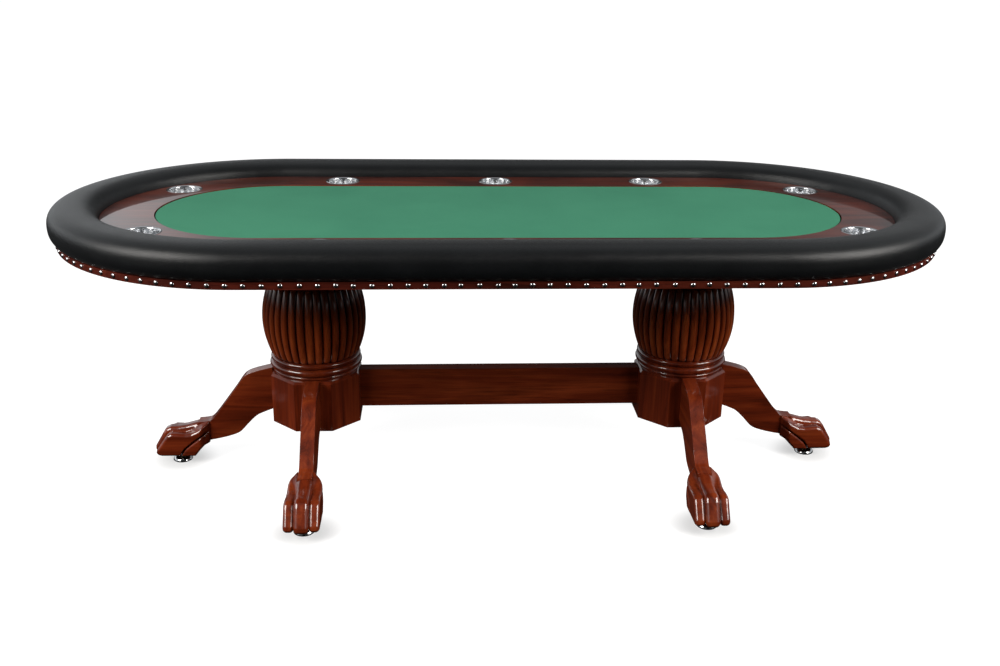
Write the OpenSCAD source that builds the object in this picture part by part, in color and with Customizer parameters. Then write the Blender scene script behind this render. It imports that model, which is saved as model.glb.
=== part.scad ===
// Racetrack-shaped poker table on two turned pedestals.
// Millimetres, +Z up, +X along the table, origin on the floor under the centre.

/* [Table top] */
// Overall length over the padded rail
table_l = 2388; // [2200:4:2500]
// Overall width over the padded rail
table_w = 1118; // [1090:2:1140]
// Height of the top of the padded rail
rail_top_z = 787.4; // [784:0.2:792]
// Underside of the deck and of the skirt
deck_z = 686; // [684:0.5:688]
// Thickness of the deck board
deck_t = 18; // [16:0.5:18]
// Width of the padded rail
rail_w = 125; // [118:1:130]
// Thickness of the leatherette cover
cover_t = 1.6; // [1:0.1:2]
// Distance of the skirt inside the rail's outline
skirt_in = 18; // [16:1:22]
// Thickness of the skirt band
skirt_t = 6; // [5:0.5:8]
// Number of dome nails around the skirt
nail_n = 145; // [100:1:160]
// Diameter of a nail's dome
nail_d = 11; // [9:0.5:12]

/* [Playing field] */
// Half length of the straight part of the cloth
field_half = 622; // [600:1:630]
// Radius of the ends of the cloth
field_r = 307; // [290:1:309]
// Upper face of the wooden racetrack
track_z = 746; // [744:0.5:748]
// Thickness of the wooden racetrack
track_t = 20; // [16:1:20]

/* [Cup holders] */
// Distance of the side cup holders from the table's long axis
cup_y = 372; // [370:1:373]
// Spacing of the side cup holders along the table
cup_dx = 464; // [440:2:480]
// Position of the end cup holders along the table
cup_end_x = 912; // [908:1:914]
// Position of the end cup holders across the table
cup_end_y = 247; // [244:1:250]
// Outside diameter of a cup holder's flange
cup_flange_d = 102; // [100:0.5:103]
// Outside diameter of a cup holder's body
cup_d = 92; // [88:0.5:92]
// Depth of a cup holder below the racetrack
cup_h = 72; // [64:1:76]

/* [Pedestals] */
// Distance of each pedestal from the table's centre
ped_x = 524; // [500:2:540]
// Number of reeds around a column
reed_n = 36; // [30:1:38]
// Largest radius of the reeded column
bulb_r = 144; // [138:1:146]
// Width of the octagonal base block across its flats
block_w = 246; // [240:2:250]
// Lower face of the base block
block_z0 = 140; // [134:1:144]
// Upper face of the base block
block_z1 = 286; // [284:1:288]

/* [Legs] */
// Thickness of a leg board
leg_t = 38; // [36:1:42]
// Width of a paw
paw_w = 92; // [88:1:96]
// Underside of a paw
paw_z = 28; // [26:1:30]
// Distance of an outer paw's leveller from the pedestal's axis
foot_x = 400; // [396:1:404]
// Extra length of the front and rear legs
leg_more = 30; // [0:1:34]
// Diameter of a leveller's pad
pad_d = 55; // [46:1:60]

/* [Hidden] */
$fn = 96;
out_r = table_w / 2;
half = table_l / 2 - out_r;
deck_top = deck_z + deck_t;
rail_c = out_r - rail_w / 2;
rail_zc = deck_top + 38;
skirt_r = out_r - skirt_in;
deck_r = skirt_r - skirt_t;
track_r = out_r - rail_w - 1;
track_z0 = track_z - track_t;
board_z0 = track_z0 - 8;
board_z1 = track_z - 10;
cups = [[-cup_dx, -cup_y], [0, -cup_y], [cup_dx, -cup_y],
        [-cup_dx, cup_y], [0, cup_y], [cup_dx, cup_y],
        [-cup_end_x, -cup_end_y], [-cup_end_x, cup_end_y],
        [cup_end_x, -cup_end_y], [cup_end_x, cup_end_y]];
plate_w = 300;
plate_t = 22;
plate_z = deck_z - plate_t;
col_z0 = block_z1 + 52;
col_z1 = 548;
bulb_zc = (col_z0 + col_z1) / 2;
leg_x = block_w / 2;
bolt_zs = [195, 240];
cav_w = 140;
block_c = 6;

// flat plate with round ends, half = half length of the straight part
module slab(h, hl, r) {
  translate([-hl, -r, 0]) cube([2 * hl, 2 * r, h]);
  for (s = [-1, 1]) translate([s * hl, 0, 0]) cylinder(h = h, r = r);
}
// signed power, for superellipse outlines
function spow(v, p) = sign(v) * pow(abs(v), p);
// outline of the rail's section inset by d, cut flat at z = zb
function rail_pts(d, zb, n = 40) =
  let (a = rail_w / 2 - d, bt = rail_top_z - rail_zc - d, bb = 45 - d, k = 2 / 2.6,
       f = pow(1 - pow((rail_zc - zb) / bb, 2.6), 1 / 2.6))
  concat([[rail_c + a * f, zb]],
    [for (i = [0:n - 1]) let (t = -90 + 360 * i / n,
        x = a * spow(cos(t), k), z = (sin(t) > 0 ? bt : bb) * spow(sin(t), k) + rail_zc)
        if (z > zb + 1.5) [rail_c + x, z]],
    [[rail_c - a * f, zb]]);
// carries a section around the table's racetrack outline
module sweep_track() {
  for (m = [0, 1]) mirror([0, m, 0])
    translate([-half, 0, 0]) rotate([90, 0, 90]) linear_extrude(2 * half) children();
  for (m = [0, 1]) mirror([m, 0, 0])
    translate([half, 0, 0]) rotate([0, 0, -90]) rotate_extrude(angle = 180) children();
}
// centres and directions of points spread along a racetrack line of radius r
function track_len(r) = 4 * half + 2 * PI * r;
function track_pt(r, s) =
  s < half ? [s, r, 90] :
  s < half + PI * r ? let (a = 90 - (s - half) / r * 180 / PI) [half + r * cos(a), r * sin(a), a] :
  s < 3 * half + PI * r ? [2 * half + PI * r - s, -r, -90] :
  s < 3 * half + 2 * PI * r ? let (a = -90 - (s - 3 * half - PI * r) / r * 180 / PI)
      [-half + r * cos(a), r * sin(a), a] :
  [s - 4 * half - 2 * PI * r, r, 90];

module rail_cover() {
  color("#161514") sweep_track() difference() {
    polygon(rail_pts(0, deck_top));
    polygon(rail_pts(cover_t, deck_top + cover_t));
    translate([rail_c - 15, deck_top - 1]) square([30, cover_t + 1.5]);
  }
}
// the rail's plywood base and its foam are made in one length for each side and twelve for each
// end, with open butt joints
frame_t = 18;
frame_z1 = deck_top + cover_t + frame_t;
butt = 0.4;
butt_step = 15;
module sweep_lengths() {
  cut = butt / rail_c * 180 / PI;
  for (m = [0, 1]) mirror([0, m, 0]) translate([-half + butt / 2, 0, 0])
    rotate([90, 0, 90]) linear_extrude(2 * half - butt) children();
  for (m = [0, 1], k = [0:180 / butt_step - 1]) mirror([m, 0, 0]) translate([half, 0, 0])
    rotate([0, 0, -90 + butt_step * k + cut / 2])
      rotate_extrude(angle = butt_step - cut) children();
}
module rail_foam() {
  color("#d9cfa0") sweep_lengths() difference() {
    polygon(rail_pts(cover_t, deck_top + cover_t));
    translate([rail_c - 100, 0]) square([200, frame_z1]);
  }
}
// the bolts run on the rail's centre line
bolt_s = [for (i = [0:11]) track_len(rail_c) * (i + 0.5) / 12];
module rail_frame() {
  color("#b98e5c") difference() {
    sweep_lengths() intersection() {
      polygon(rail_pts(cover_t, deck_top + cover_t));
      translate([rail_c - 80, deck_top]) square([160, cover_t + frame_t]);
    }
    for (s = bolt_s) let (p = track_pt(rail_c, s))
      translate([p[0], p[1], deck_top - 2]) cylinder(h = 36, r = 4.3, $fn = 32);
  }
}
module rail_bolts() {
  color("#9a9b9d") for (s = bolt_s) let (p = track_pt(rail_c, s)) translate([p[0], p[1], 0]) {
    translate([0, 0, deck_z - 1.6]) cylinder(h = 1.6, r = 10, $fn = 32);
    translate([0, 0, deck_z - 7.1]) cylinder(h = 5.5, r = 7.5, $fn = 6);
    translate([0, 0, deck_z - 2]) cylinder(h = 36, r = 4, $fn = 32);
  }
}
module skirt_straight() {
  color("#5a1a12") translate([-half, -skirt_r, deck_z]) cube([2 * half, skirt_t, deck_t]);
}
module skirt_front() { skirt_straight(); }
module skirt_rear() { mirror([0, 1, 0]) skirt_straight(); }
module skirt_end() {
  color("#5a1a12") translate([half, 0, deck_z]) rotate([0, 0, -90])
    rotate_extrude(angle = 180) translate([deck_r, 0]) square([skirt_t, deck_t]);
}
module skirt_right_end() { skirt_end(); }
module skirt_left_end() { mirror([1, 0, 0]) skirt_end(); }
// domed head on a short shank, axis along +X, head's seat at x = 0
module nail() {
  rotate([0, 90, 0]) {
    difference() {
      translate([0, 0, -3.2]) sphere(r = norm([nail_d / 2, 3.2]), $fn = 48);
      translate([0, 0, -10]) cube([20, 20, 20], center = true);
    }
    translate([0, 0, -13]) cylinder(h = 13.5, r = 0.9, $fn = 16);
  }
}
module skirt_nails() {
  color("#c9c9cc") for (i = [0:nail_n - 1])
    let (p = track_pt(skirt_r, track_len(skirt_r) * (i + 0.5) / nail_n))
      translate([p[0], p[1], deck_z + deck_t / 2]) rotate([0, 0, p[2]]) nail();
}
module cup_holes(z0, z1) {
  for (c = cups) translate([c[0], c[1], z0]) cylinder(h = z1 - z0, r = cup_d / 2 + 0.5);
}
module racetrack() {
  color("#6f2a16") difference() {
    translate([0, 0, track_z0]) slab(track_t, half, track_r);
    translate([0, 0, track_z0 - 1]) slab(track_t + 2, field_half, field_r + 1.5);
    cup_holes(track_z0 - 1, track_z + 1);
  }
}
module racetrack_riser() {
  color("#b98e5c") difference() {
    translate([0, 0, deck_top]) slab(track_z0 - deck_top, half, track_r);
    translate([0, 0, deck_top - 1]) slab(40, field_half, field_r - 25);
    translate([0, 0, board_z0]) slab(40, field_half, field_r + 1.5);
    cup_holes(deck_top - 1, track_z0 + 1);
  }
}
// wood screws that hold the plates and battens to the deck
screw_xy = concat(
  [for (s = [-1, 1], a = [-1, 1], b = [-1, 1]) [s * ped_x + a * 125, b * 125, plate_z]],
  [for (b = [-1, 1], i = [-2:2]) [i * 340, b * 190, deck_z - 40]]);
module deck() {
  color("#a98456") difference() {
    translate([0, 0, deck_z]) slab(deck_t, half, deck_r);
    cup_holes(deck_z - 1, deck_top + 1);
    for (s = bolt_s) let (p = track_pt(rail_c, s))
      translate([p[0], p[1], deck_z - 1]) cylinder(h = deck_t + 2, r = 4.3, $fn = 32);
    for (q = screw_xy) translate([q[0], q[1], deck_z - 1]) cylinder(h = 15, r = 2.6, $fn = 24);
  }
}
module deck_screws() {
  color("#8f8f92") for (q = screw_xy) translate(q) {
    translate([0, 0, deck_z - q[2] - 20]) cylinder(h = 33, r = 2.5, $fn = 24);
    translate([0, 0, deck_z - q[2] - 20]) cylinder(h = 4, r = 5, $fn = 24);
  }
}
module batten(y) {
  color("#8d5a32") difference() {
    translate([-820, y - 32, deck_z - 40]) cube([1640, 64, 40]);
    for (q = screw_xy) if (q[2] < plate_z) {
      translate([q[0], q[1], deck_z - 50]) cylinder(h = 60, r = 2.6, $fn = 24);
      translate([q[0], q[1], deck_z - 50]) cylinder(h = 34.1, r = 5.3, $fn = 24);
    }
  }
}
module batten_front() { batten(-190); }
module batten_rear() { batten(190); }
module playing_board() {
  color("#b98e5c") translate([0, 0, board_z0]) slab(board_z1 - board_z0, field_half, field_r - 1);
}
module playing_foam() {
  color("#e8e4d8") translate([0, 0, board_z1]) slab(7, field_half, field_r - 1);
}
module playing_cloth() {
  color("#46885f") difference() {
    translate([0, 0, board_z0 + 4]) slab(board_z1 - board_z0 + 4.4, field_half, field_r + 0.4);
    translate([0, 0, board_z0]) slab(board_z1 - board_z0 + 7, field_half, field_r - 1);
  }
}
module cup_holder(i) {
  color("#bfc2c5") translate([cups[i][0], cups[i][1], track_z]) rotate_extrude()
    polygon([[0, -cup_h], [cup_d / 2 - 3, -cup_h], [cup_d / 2, -cup_h + 3], [cup_d / 2, 0],
      [cup_flange_d / 2, 0], [cup_flange_d / 2, 0.8], [cup_flange_d / 2 - 0.8, 1.6],
      [cup_d / 2 - 1, 1.6], [cup_d / 2 - 1.8, 1], [cup_d / 2 - 1.8, -cup_h + 3.5],
      [cup_d / 2 - 4, -cup_h + 1.2], [0, -cup_h + 1.2]]);
}
module cup_holder_1() { cup_holder(0); }
module cup_holder_2() { cup_holder(1); }
module cup_holder_3() { cup_holder(2); }
module cup_holder_4() { cup_holder(3); }
module cup_holder_5() { cup_holder(4); }
module cup_holder_6() { cup_holder(5); }
module cup_holder_7() { cup_holder(6); }
module cup_holder_8() { cup_holder(7); }
module cup_holder_9() { cup_holder(8); }
module cup_holder_10() { cup_holder(9); }

// ---- pedestals ----
module top_plate() {
  color("#4f170f") difference() {
    translate([-plate_w / 2, -plate_w / 2, plate_z]) cube([plate_w, plate_w, plate_t]);
    translate([0, 0, plate_z - 1]) cylinder(h = 40, r = 7);
    translate([0, 0, deck_z - 14]) cylinder(h = 20, r = 17);
    for (a = [-1, 1], b = [-1, 1]) translate([a * 125, b * 125, 0]) {
      translate([0, 0, plate_z - 1]) cylinder(h = 40, r = 2.6, $fn = 24);
      translate([0, 0, plate_z - 1]) cylinder(h = 7.1, r = 5.3, $fn = 24);
    }
  }
}
module collar_axis_bore() { translate([0, 0, -1]) cylinder(h = 800, r = 7); }
module upper_collar() {
  color("#4f170f") difference() {
    rotate_extrude() union() {
      translate([0, col_z1]) square([112, plate_z - col_z1]);
      translate([0, col_z1]) square([117, 38]);
      translate([114, col_z1 + 7]) circle(r = 7, $fn = 32);
      translate([117, col_z1 + 23]) circle(r = 9, $fn = 32);
      translate([0, col_z1 + 32]) square([120, 8]);
      translate([0, plate_z - 42]) square([124, 12]);
      translate([0, plate_z - 30]) square([136, 30]);
    }
    collar_axis_bore();
  }
}
module lower_collar() {
  color("#6b2313") difference() {
    rotate_extrude() union() {
      translate([0, block_z1]) square([117, col_z0 - block_z1]);
      translate([117.5, col_z0 - 8]) circle(r = 8, $fn = 32);
      translate([118, col_z0 - 27]) circle(r = 11, $fn = 32);
      translate([117, block_z1 + 9]) circle(r = 5, $fn = 32);
      translate([0, block_z1]) square([117, 4]);
    }
    collar_axis_bore();
  }
}
// radius of the column's swelling at height z
bulb_m = 254;
function bulb(z) = bulb_r - bulb_m + sqrt(bulb_m * bulb_m - (z - bulb_zc) * (z - bulb_zc));
col_rings = 13;
col_side = 4;
col_n = reed_n * col_side;
function reed(j) = [0, 3.2, 4.4, 3.2][j % col_side];
function col_pts() = concat(
  [for (i = [0:col_rings - 1]) let (z = col_z0 + (col_z1 - col_z0) * i / (col_rings - 1))
    for (j = [0:col_n - 1]) let (r = bulb(z) - 4.4 + reed(j), a = 360 * j / col_n)
      [r * cos(a), r * sin(a), z]]);
function col_faces() = concat(
  [[for (j = [0:col_n - 1]) j]],
  [for (i = [0:col_rings - 2]) for (j = [0:col_n - 1]) let (k = (j + 1) % col_n)
    [i * col_n + j, (i + 1) * col_n + j, (i + 1) * col_n + k, i * col_n + k]],
  [[for (j = [0:col_n - 1]) col_rings * col_n - 1 - j]]);
module column() {
  color("#5b1f10") difference() {
    polyhedron(points = col_pts(), faces = col_faces(), convexity = 4);
    collar_axis_bore();
  }
}
module base_block() {
  color("#6b2313") difference() {
    rotate([0, 0, 22.5]) {
      translate([0, 0, block_z0])
        cylinder(h = block_z1 - block_z0 - block_c, r = block_w / 2 / cos(22.5), $fn = 8);
      translate([0, 0, block_z1 - block_c]) cylinder(h = block_c,
        r1 = block_w / 2 / cos(22.5), r2 = (block_w / 2 - block_c) / cos(22.5), $fn = 8);
    }
    translate([0, 0, block_z0 - 1]) rotate([0, 0, 22.5])
      cylinder(h = block_z1 - block_z0 - 23, r = cav_w / 2 / cos(22.5), $fn = 8);
    collar_axis_bore();
    for (a = [0:90:270], z = bolt_zs) rotate([0, 0, a]) translate([50, 0, z])
      rotate([0, 90, 0]) cylinder(h = 100, r = 4.6, $fn = 32);
  }
}
module tie_rod() {
  translate([0, 0, block_z1 - 42]) cylinder(h = deck_z - 3 - block_z1 + 42, r = 6, $fn = 48);
  for (z = [block_z1 - 37, deck_z - 11]) translate([0, 0, z]) difference() {
    cylinder(h = 9.8, r = 11, $fn = 6);
    translate([0, 0, -1]) cylinder(h = 20, r = 6.05, $fn = 48);
  }
  for (z = [block_z1 - 27, deck_z - 14]) translate([0, 0, z]) difference() {
    cylinder(h = 3, r = 15, $fn = 48);
    translate([0, 0, -1]) cylinder(h = 20, r = 6.5, $fn = 48);
  }
}
module at_left() { translate([-ped_x, 0, 0]) children(); }
module at_right() { translate([ped_x, 0, 0]) children(); }
module top_plate_left() { at_left() top_plate(); }
module top_plate_right() { at_right() top_plate(); }
module upper_collar_left() { at_left() upper_collar(); }
module upper_collar_right() { at_right() upper_collar(); }
module column_left() { at_left() column(); }
module column_right() { at_right() column(); }
module lower_collar_left() { at_left() lower_collar(); }
module lower_collar_right() { at_right() lower_collar(); }
module base_block_left() { at_left() base_block(); }
module base_block_right() { at_right() base_block(); }
module tie_rods() { color("#8f8f92") { at_left() tie_rod(); at_right() tie_rod(); } }

// ---- legs: side outline in (distance from the pedestal's axis, height) ----
leg_up = [[leg_x, 292], [150, 285.5], [176, 278.5], [197, 270], [211, 257], [229, 231],
          [251, 201], [274, 170], [290, 149], [301, 136], [311, 128.5]];
leg_lo = [[345, 58], [328, 63], [312, 68], [296, 71], [278, 75], [255, 81], [226, 93],
          [200, 120], [182, 138], [165, 150], [leg_x, 167]];
// moves the outer part of a leg's outline out by m
function longer(p, m) = [for (q = p) [q[0] + m * min(1, max(0, (q[0] - 150) / 130)), q[1]]];
// point on a smooth curve through the list p at parameter t between p[i] and p[i+1]
function cr(a, b, c, d, t) = 0.5 * ((2 * b) + (c - a) * t + (2 * a - 5 * b + 4 * c - d) * t * t
  + (3 * b - a - 3 * c + d) * t * t * t);
function smooth(p, n) = concat([for (i = [0:len(p) - 2], k = [0:n - 1])
  cr(p[max(i - 1, 0)], p[i], p[i + 1], p[min(i + 2, len(p) - 1)], k / n)], [p[len(p) - 1]]);
module leg_side(top, m) {
  rotate([90, 0, 0]) translate([0, 0, -leg_t / 2]) linear_extrude(leg_t)
    polygon(longer(concat(smooth(leg_up, 3), top, smooth(leg_lo, 3)), m));
}
module leg(m = 0) {
  color("#63200f") difference() {
    leg_side([[328, 125.5], [345, 124]], m);
    for (z = bolt_zs) translate([100, 0, z]) rotate([0, 90, 0]) cylinder(h = 85, r = 4.1, $fn = 32);
  }
}
// one toe: a ridge from the wrist to the knuckle, then down over the front to the ground
// y = place across the paw, w = width, r0 = [x, top] at the wrist, k = [x, top] at the knuckle
module toe(y, w, r0, k, reach) {
  hull() {
    translate([r0[0], y * 0.9, r0[1] - w / 2 + 1]) sphere(r = w / 2 - 1, $fn = 16);
    translate([k[0], y, k[1] - w / 2]) sphere(r = w / 2, $fn = 16);
    translate([reach - w / 2 + 1, y, paw_z + w / 2 - 1]) sphere(r = w / 2 - 1, $fn = 16);
    translate([reach - w / 2 - 4, y, paw_z]) cylinder(h = 8, r = w / 2 - 3, $fn = 16);
    translate([368, y * 0.9, paw_z]) cylinder(h = 8, r = w / 2 - 3, $fn = 16);
  }
}
module paw(m = 0) {
  color("#6b2313") difference() {
    translate([m, 0, 0]) union() {
      toe(0, 36, [345, 124], [421, 108], 473);
      for (s = [-1, 1]) toe(s * (paw_w / 2 - 15), 30, [352, 106], [416, 99], 465);
      hull() {
        translate([312, -leg_t / 2 - 3, 72]) cube([1, leg_t + 6, 54]);
        translate([338, -paw_w / 2 + 1, 56]) cube([60, paw_w - 2, 40]);
        translate([354, -paw_w / 2 + 6, paw_z]) cube([70, paw_w - 12, 20]);
      }
    }
    intersection() {
      translate([290 + m, -leg_t / 2, 0]) cube([55, leg_t, 200]);
      leg_side([[311, 200], [345, 200]], m);
    }
    translate([foot_x + m, 0, paw_z - 1]) cylinder(h = 35, r = 8.1, $fn = 48);
  }
}
module leveller_insert() {
  difference() {
    translate([foot_x, 0, paw_z + 0.5]) cylinder(h = 28, r = 8, $fn = 48);
    translate([foot_x, 0, 0]) cylinder(h = 80, r = 5.08, $fn = 48);
  }
}
module leveller() {
  color("#c4c6c9") translate([foot_x, 0, 0]) rotate_extrude()
    polygon([[0, 0], [pad_d / 2 - 1.5, 0], [pad_d / 2, 1.5], [pad_d / 2, 4], [pad_d / 2 - 3, 7],
      [pad_d / 2 - 10, 10], [10, 12], [8, 15], [5, 15], [5, 57], [4, 58], [0, 58]]);
}
// places of the three legs of each pedestal
module lf() { at_left() rotate([0, 0, -90]) children(); }
module lr() { at_left() rotate([0, 0, 90]) children(); }
module lo() { at_left() rotate([0, 0, 180]) children(); }
module rf() { at_right() rotate([0, 0, -90]) children(); }
module rr() { at_right() rotate([0, 0, 90]) children(); }
module ro() { at_right() children(); }
module more() { translate([leg_more, 0, 0]) children(); }
module leg_left_front() { lf() leg(leg_more); }
module leg_left_rear() { lr() leg(leg_more); }
module leg_left_outer() { lo() leg(); }
module leg_right_front() { rf() leg(leg_more); }
module leg_right_rear() { rr() leg(leg_more); }
module leg_right_outer() { ro() leg(); }
module paw_left_front() { lf() paw(leg_more); }
module paw_left_rear() { lr() paw(leg_more); }
module paw_left_outer() { lo() paw(); }
module paw_right_front() { rf() paw(leg_more); }
module paw_right_rear() { rr() paw(leg_more); }
module paw_right_outer() { ro() paw(); }
module leveller_left_front() { lf() more() leveller(); }
module leveller_left_rear() { lr() more() leveller(); }
module leveller_left_outer() { lo() leveller(); }
module leveller_right_front() { rf() more() leveller(); }
module leveller_right_rear() { rr() more() leveller(); }
module leveller_right_outer() { ro() leveller(); }
module leveller_inserts() {
  color("#a8893f") { lf() more() leveller_insert(); lr() more() leveller_insert(); lo() leveller_insert();
    rf() more() leveller_insert(); rr() more() leveller_insert(); ro() leveller_insert(); }
}
// hex-head lag bolts that hold the legs and the stretcher to the base blocks
module frame_bolts() {
  color("#8f8f92") for (s = [-1, 1], a = [0:90:270], z = bolt_zs)
    translate([s * ped_x, 0, z]) rotate([0, 0, a]) rotate([0, 90, 0]) {
      translate([0, 0, cav_w / 2 - 6.5]) cylinder(h = 6.5, r = 8, $fn = 6);
      translate([0, 0, cav_w / 2 - 3]) cylinder(h = 113, r = 4, $fn = 32);
    }
}
module stretcher() {
  color("#63200f") difference() {
    translate([-ped_x + leg_x, -20, 172]) cube([2 * (ped_x - leg_x), 40, 112]);
    for (s = [-1, 1], z = bolt_zs) translate([s * (ped_x - 150), 0, z])
      rotate([0, 90, 0]) cylinder(h = 70, r = 4.1, $fn = 32, center = true);
  }
}

rail_cover();
rail_foam();
rail_frame();
skirt_front();
skirt_rear();
skirt_left_end();
skirt_right_end();
skirt_nails();
racetrack();
racetrack_riser();
deck();
playing_cloth();
playing_foam();
playing_board();
cup_holder_1();
cup_holder_2();
cup_holder_3();
cup_holder_4();
cup_holder_5();
cup_holder_6();
cup_holder_7();
cup_holder_8();
cup_holder_9();
cup_holder_10();
batten_front();
batten_rear();
rail_bolts();
deck_screws();
top_plate_left();
top_plate_right();
upper_collar_left();
upper_collar_right();
column_left();
column_right();
lower_collar_left();
lower_collar_right();
base_block_left();
base_block_right();
tie_rods();
leg_left_front();
leg_left_rear();
leg_left_outer();
leg_right_front();
leg_right_rear();
leg_right_outer();
paw_left_front();
paw_left_rear();
paw_left_outer();
paw_right_front();
paw_right_rear();
paw_right_outer();
frame_bolts();
stretcher();
leveller_inserts();
leveller_left_front();
leveller_left_rear();
leveller_left_outer();
leveller_right_front();
leveller_right_rear();
leveller_right_outer();
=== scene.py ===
import bpy, bmesh, math
import numpy as np
from mathutils import Vector, Matrix


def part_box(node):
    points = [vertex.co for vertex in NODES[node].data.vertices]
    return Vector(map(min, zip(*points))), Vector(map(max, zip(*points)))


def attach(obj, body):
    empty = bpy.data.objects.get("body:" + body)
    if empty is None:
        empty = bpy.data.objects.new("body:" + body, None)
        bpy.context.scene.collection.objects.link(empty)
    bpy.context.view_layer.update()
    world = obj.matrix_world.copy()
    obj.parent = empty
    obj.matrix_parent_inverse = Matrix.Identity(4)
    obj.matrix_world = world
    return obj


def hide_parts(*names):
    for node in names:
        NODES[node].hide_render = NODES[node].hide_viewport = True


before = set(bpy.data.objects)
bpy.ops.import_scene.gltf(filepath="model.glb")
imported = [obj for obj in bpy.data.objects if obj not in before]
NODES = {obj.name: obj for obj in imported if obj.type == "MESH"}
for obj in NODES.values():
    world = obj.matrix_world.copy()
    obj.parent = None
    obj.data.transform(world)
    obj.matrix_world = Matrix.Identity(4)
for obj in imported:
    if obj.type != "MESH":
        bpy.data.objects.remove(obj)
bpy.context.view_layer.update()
MM = 0.001

# ------------------------------------------------------------------ sizes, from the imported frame
lo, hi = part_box("rail_cover")
OUT_R = (hi.y - lo.y) / 2 / MM          # radius of the rail's outline
HALF = (hi.x - lo.x) / 2 / MM - OUT_R   # half length of the straight part
RAIL_Z0, RAIL_Z1 = lo.z / MM, hi.z / MM
lo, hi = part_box("skirt_front")
SK_Z0, SK_Z1, SKIRT_R = lo.z / MM, hi.z / MM, -lo.y / MM
lo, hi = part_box("playing_cloth")
CL_R = (hi.y - lo.y) / 2 / MM
CL_HALF = (hi.x - lo.x) / 2 / MM - CL_R
CL_Z0, CL_Z1 = lo.z / MM, hi.z / MM
lo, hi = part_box("racetrack")
TR_Z1 = hi.z / MM
lo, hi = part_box("base_block_right")
PED = (lo.x + hi.x) / 2 / MM
BLK_Z0, BLK_Z1, BLK_W = lo.z / MM, hi.z / MM, (hi.x - lo.x) / MM
lo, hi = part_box("column_right")
COL_Z0, COL_Z1 = lo.z / MM, hi.z / MM
BULB_R = (hi.x - lo.x) / 2 / MM + 0.4
PLATE_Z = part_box("top_plate_right")[0].z / MM
RAIL_W = 125.0
RAIL_C = OUT_R - RAIL_W / 2
RAIL_ZC = RAIL_Z0 + 38.0

# ------------------------------------------------------------------ small helpers
def new_obj(name, verts, faces, mat=None, smooth=True):
    me = bpy.data.meshes.new(name)
    me.from_pydata([tuple(v) for v in verts], [], [tuple(f) for f in faces])
    me.validate()
    me.update()
    o = bpy.data.objects.new(name, me)
    bpy.context.scene.collection.objects.link(o)
    if smooth:
        me.polygons.foreach_set("use_smooth", [True] * len(me.polygons))
    if mat:
        me.materials.append(mat)
    return o

def fix_normals(o):
    bm = bmesh.new(); bm.from_mesh(o.data)
    bmesh.ops.recalc_face_normals(bm, faces=bm.faces)
    bm.to_mesh(o.data); bm.free()
    return o

def smooth_by_angle(o, deg=35):
    me = o.data
    me.polygons.foreach_set("use_smooth", [True] * len(me.polygons))
    bm = bmesh.new(); bm.from_mesh(me)
    lim = math.radians(deg)
    for ed in bm.edges:
        if len(ed.link_faces) == 2:
            ed.smooth = ed.calc_face_angle(0.0) < lim
    bm.to_mesh(me); bm.free()
    return o

def bevel(o, w, seg=3, ang=35):
    m = o.modifiers.new("edge", "BEVEL")
    m.width = w * MM; m.segments = seg; m.limit_method = "ANGLE"; m.angle_limit = math.radians(ang)
    m.harden_normals = True
    return o

def lathe(name, prof, cx, cy, n=96, mat=None):
    """prof: list of (r, z) in mm, from the axis or open; closed at r = 0 by a fan."""
    verts, faces, rings = [], [], []
    for r, z in prof:
        if r < 1e-6:
            rings.append([len(verts)]); verts.append((cx * MM, cy * MM, z * MM))
        else:
            idx = []
            for k in range(n):
                a = 2 * math.pi * k / n
                idx.append(len(verts))
                verts.append(((cx + r * math.cos(a)) * MM, (cy + r * math.sin(a)) * MM, z * MM))
            rings.append(idx)
    for A, B in zip(rings[:-1], rings[1:]):
        for k in range(n):
            a0, a1 = A[k % len(A)], A[(k + 1) % len(A)]
            b0, b1 = B[k % len(B)], B[(k + 1) % len(B)]
            if len(A) == 1 and len(B) == 1: continue
            if len(A) == 1: faces.append((a0, b0, b1))
            elif len(B) == 1: faces.append((a0, b0, a1))
            else: faces.append((a0, b0, b1, a1))
    o = new_obj(name, verts, faces, mat)
    fix_normals(o)
    return o

def arc(cx, cz, r, a0, a1, n):
    return [(cx + r * math.cos(math.radians(a0 + (a1 - a0) * i / n)),
             cz + r * math.sin(math.radians(a0 + (a1 - a0) * i / n))) for i in range(n + 1)]

def ang_noise(seed, n=7, f0=3, f1=60):
    g = np.random.default_rng(seed)
    fr = g.integers(f0, f1, n); ph = g.uniform(0, 2 * math.pi, n); am = g.uniform(0.4, 1, n)
    return lambda t: sum(a * np.sin(f * t + p) for a, f, p in zip(am, fr, ph)) / am.sum()

# ------------------------------------------------------------------ materials
def nt_mat(name):
    m = bpy.data.materials.new(name)
    m.use_nodes = True
    nt = m.node_tree
    b = nt.nodes["Principled BSDF"]
    return m, nt, b

def nd(nt, kind, **kw):
    n = nt.nodes.new(kind)
    for k, v in kw.items():
        if k in n.inputs: n.inputs[k].default_value = v
        else: setattr(n, k, v)
    return n

def lk(nt, a, b): nt.links.new(a, b)

def ramp(nt, stops, fac):
    r = nt.nodes.new("ShaderNodeValToRGB")
    cr = r.color_ramp
    while len(cr.elements) > 1: cr.elements.remove(cr.elements[-1])
    cr.elements[0].position = stops[0][0]; cr.elements[0].color = (*stops[0][1], 1)
    for p, c in stops[1:]:
        e = cr.elements.new(p); e.color = (*c, 1)
    lk(nt, fac, r.inputs[0])
    return r.outputs[0]

def mixc(nt, mode, fac, a, b):
    m = nt.nodes.new("ShaderNodeMix"); m.data_type = "RGBA"; m.blend_type = mode
    for s, v in ((m.inputs[0], fac), (m.inputs[6], a), (m.inputs[7], b)):
        if hasattr(v, "node"): lk(nt, v, s)
        else: s.default_value = v if not isinstance(v, tuple) else (*v, 1)
    return m.outputs[2]

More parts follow.
